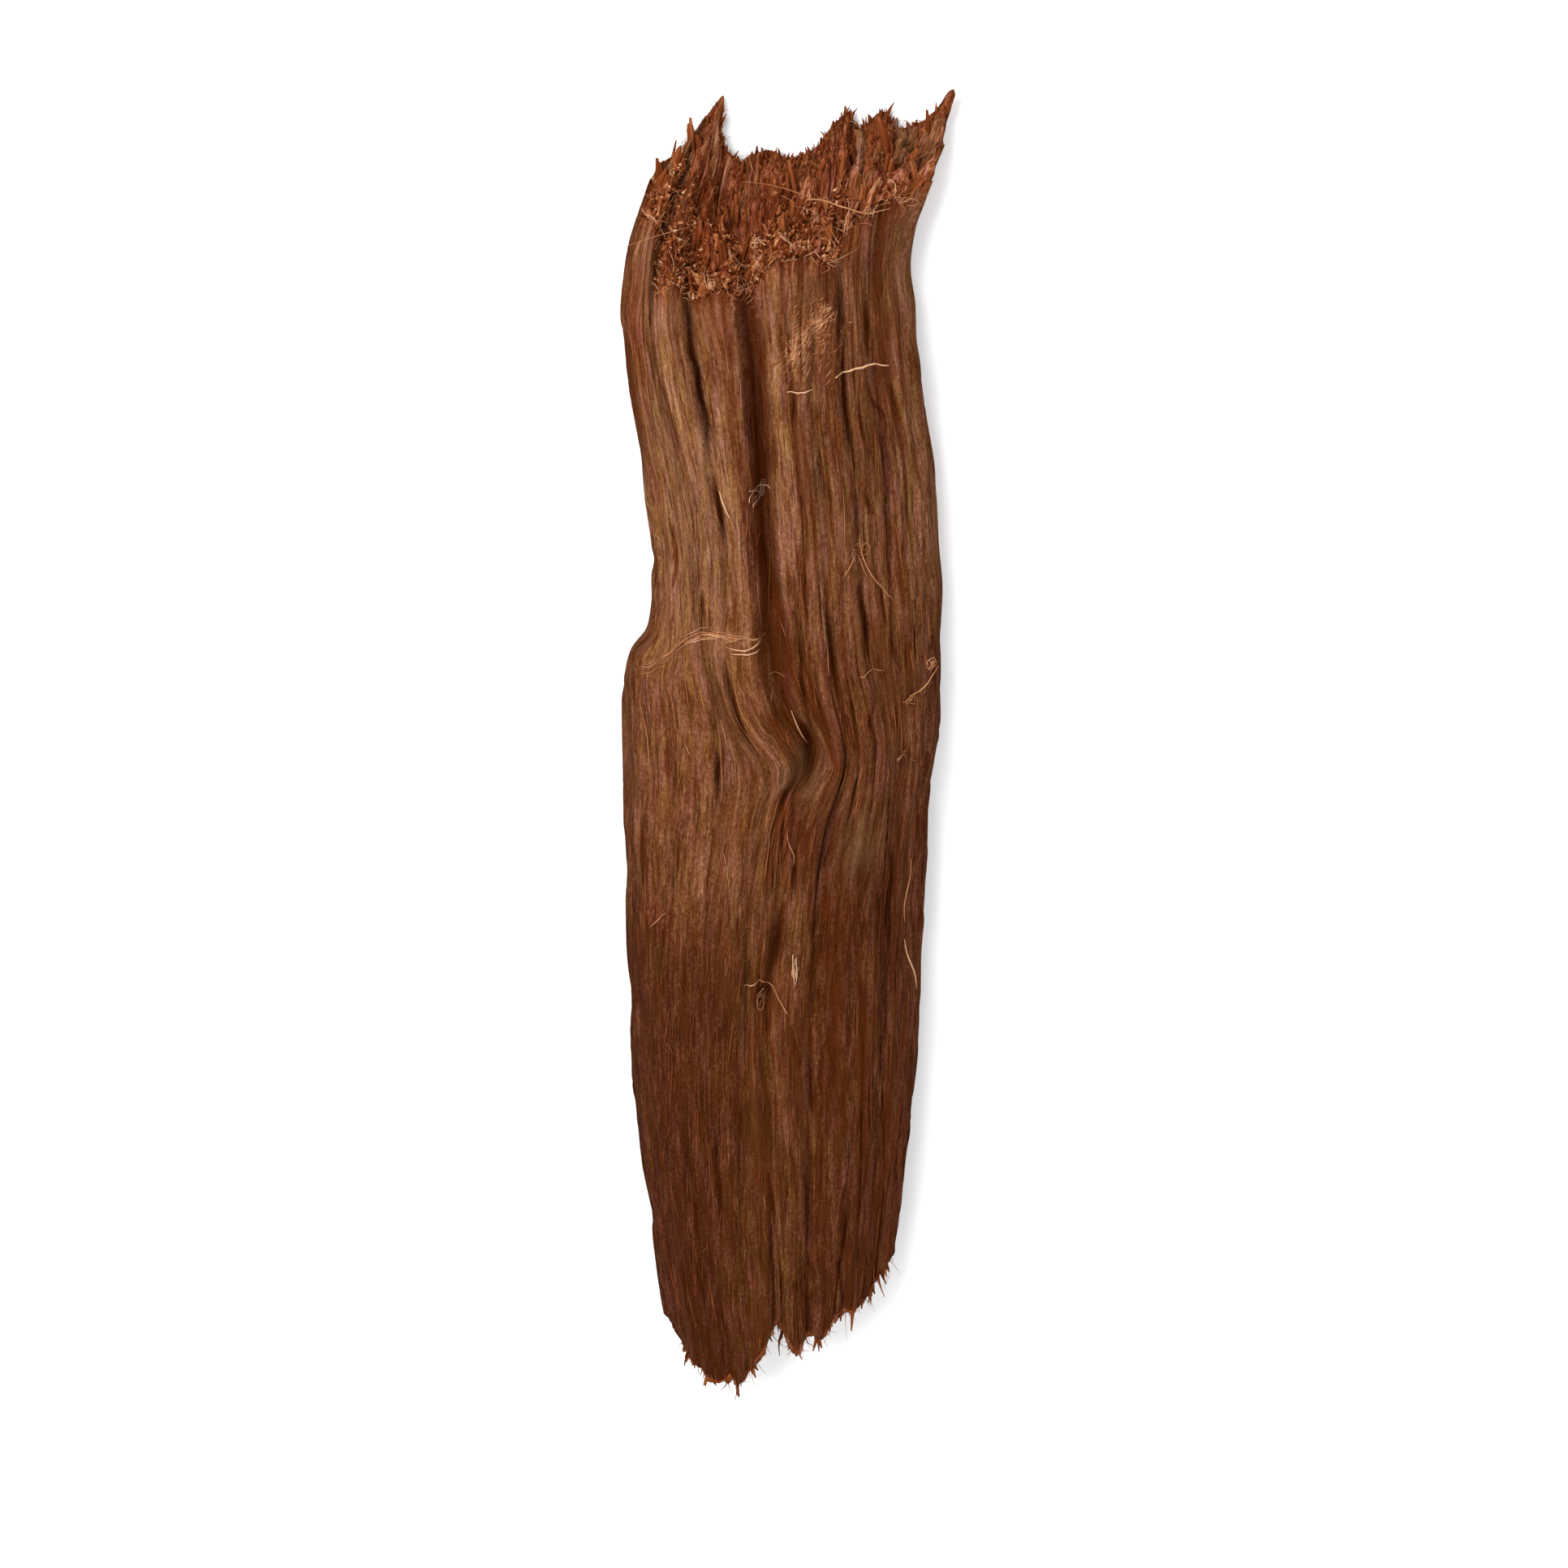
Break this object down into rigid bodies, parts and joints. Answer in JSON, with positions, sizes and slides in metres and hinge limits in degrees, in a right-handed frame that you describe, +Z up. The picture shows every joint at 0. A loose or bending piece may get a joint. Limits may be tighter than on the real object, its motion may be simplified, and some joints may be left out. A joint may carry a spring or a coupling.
{
  "type": "piece of indian kino bark",
  "caption": "Torn slab of kino bark, furrowed along its outer face, with a fibrous torn end, lying on its slightly hollow inner face.",
  "frame": {"origin": "middle of the bounding box, on the surface that the piece lies on", "axes": "+Y along the grain towards the torn fibrous end, +Z up, away from the surface that it lies on, +X across the grain"},
  "size_m": [0.0358, 0.15, 0.0148],
  "materials": {
    "bark": "dry, fibrous, matt red-brown bark"
  },
  "bodies": {
    "root": {"kino_bark": "bark"}
  },
  "joints": []
}
